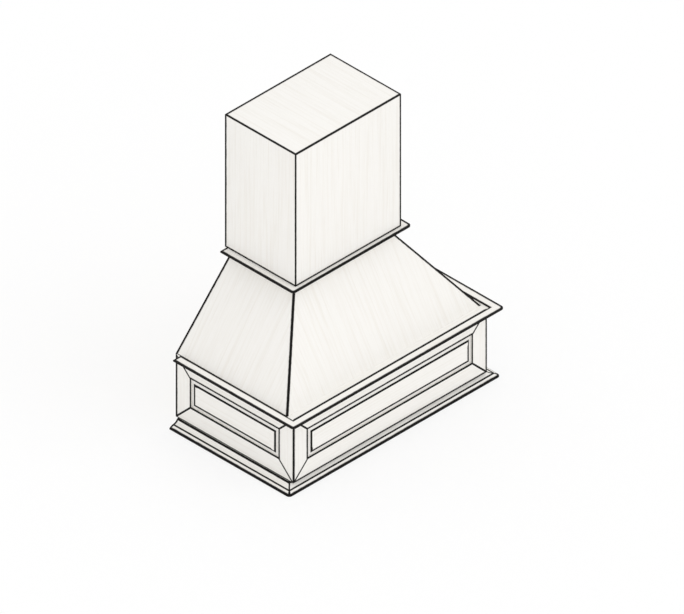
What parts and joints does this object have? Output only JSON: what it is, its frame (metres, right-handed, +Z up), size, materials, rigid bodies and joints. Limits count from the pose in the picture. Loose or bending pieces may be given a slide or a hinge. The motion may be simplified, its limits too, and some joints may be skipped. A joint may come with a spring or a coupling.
{
  "type": "wooden range hood cover",
  "caption": "Wall-hung wooden range hood cover: framed apron with raised panels, mitred mouldings, tapered body and box chimney, open behind and below for a blower liner and duct.",
  "frame": {"origin": "under the middle of the bounding box, at the lower face of the base moulding; the wall plane is y = +0.2725 m", "axes": "+X to the viewer's right as one faces the hood, +Y towards the wall, +Z up"},
  "size_m": [0.914, 0.545, 1.0665],
  "materials": {
    "pickled_frame": "white-pickled maple, satin, grain faintly showing, charcoal glaze in the joints",
    "pickled_panel": "white-pickled maple, satin, glaze in the bevel's creases",
    "pickled_moulding": "white-pickled maple moulding, satin, glaze in the quirks",
    "pickled_sheet": "white-pickled maple-faced plywood, satin outside, clear inside",
    "birch_plywood": "bare birch plywood with layered edges",
    "poplar": "bare planed poplar",
    "beech": "bare beech keys and splines, glued in",
    "zinc_steel": "zinc-plated countersunk wood screws"
  },
  "bodies": {
    "root": {"back_post_left": "poplar", "back_post_right": "poplar", "base_trim_front": "pickled_moulding", "base_trim_left": "pickled_moulding", "base_trim_right": "pickled_moulding", "bottom_back_rail": "poplar", "chimney_back_rails": "poplar", "chimney_base_cleats": "poplar", "chimney_corner_blocks": "poplar", "chimney_front": "pickled_sheet", "chimney_left": "pickled_sheet", "chimney_right": "pickled_sheet", "chimney_top": "pickled_sheet", "collar": "birch_plywood", "corner_post_left": "poplar", "corner_post_right": "poplar", "corner_splines": "beech", "deck": "birch_plywood", "deck_cleat_front": "poplar", "deck_cleat_left": "poplar", "deck_cleat_right": "poplar", "foot_cleat_front": "poplar", "foot_cleat_left": "poplar", "foot_cleat_right": "poplar", "front_bottom_rail": "pickled_frame", "front_left_stile": "pickled_frame", "front_panel": "pickled_panel", "front_right_stile": "pickled_frame", "front_top_rail": "pickled_frame", "hanging_rail": "poplar", "hip_block_left": "poplar", "hip_block_right": "poplar", "left_bottom_rail": "pickled_frame", "left_left_stile": "pickled_frame", "left_panel": "pickled_panel", "left_right_stile": "pickled_frame", "left_top_rail": "pickled_frame", "liner_ledger_back": "poplar", "liner_ledger_front": "poplar", "liner_ledger_left": "poplar", "liner_ledger_right": "poplar", "mitre_keys": "beech", "mounting_rail": "poplar", "neck_back_rail": "poplar", "neck_trim_front": "pickled_moulding", "neck_trim_left": "pickled_moulding", "neck_trim_right": "pickled_moulding", "right_bottom_rail": "pickled_frame", "right_left_stile": "pickled_frame", "right_panel": "pickled_panel", "right_right_stile": "pickled_frame", "right_top_rail": "pickled_frame", "slope_front": "pickled_sheet", "slope_left": "pickled_sheet", "slope_right": "pickled_sheet", "spacer_rail": "poplar", "upper_trim_front": "pickled_moulding", "upper_trim_left": "pickled_moulding", "upper_trim_right": "pickled_moulding", "wood_screws": "zinc_steel"}
  },
  "joints": []
}
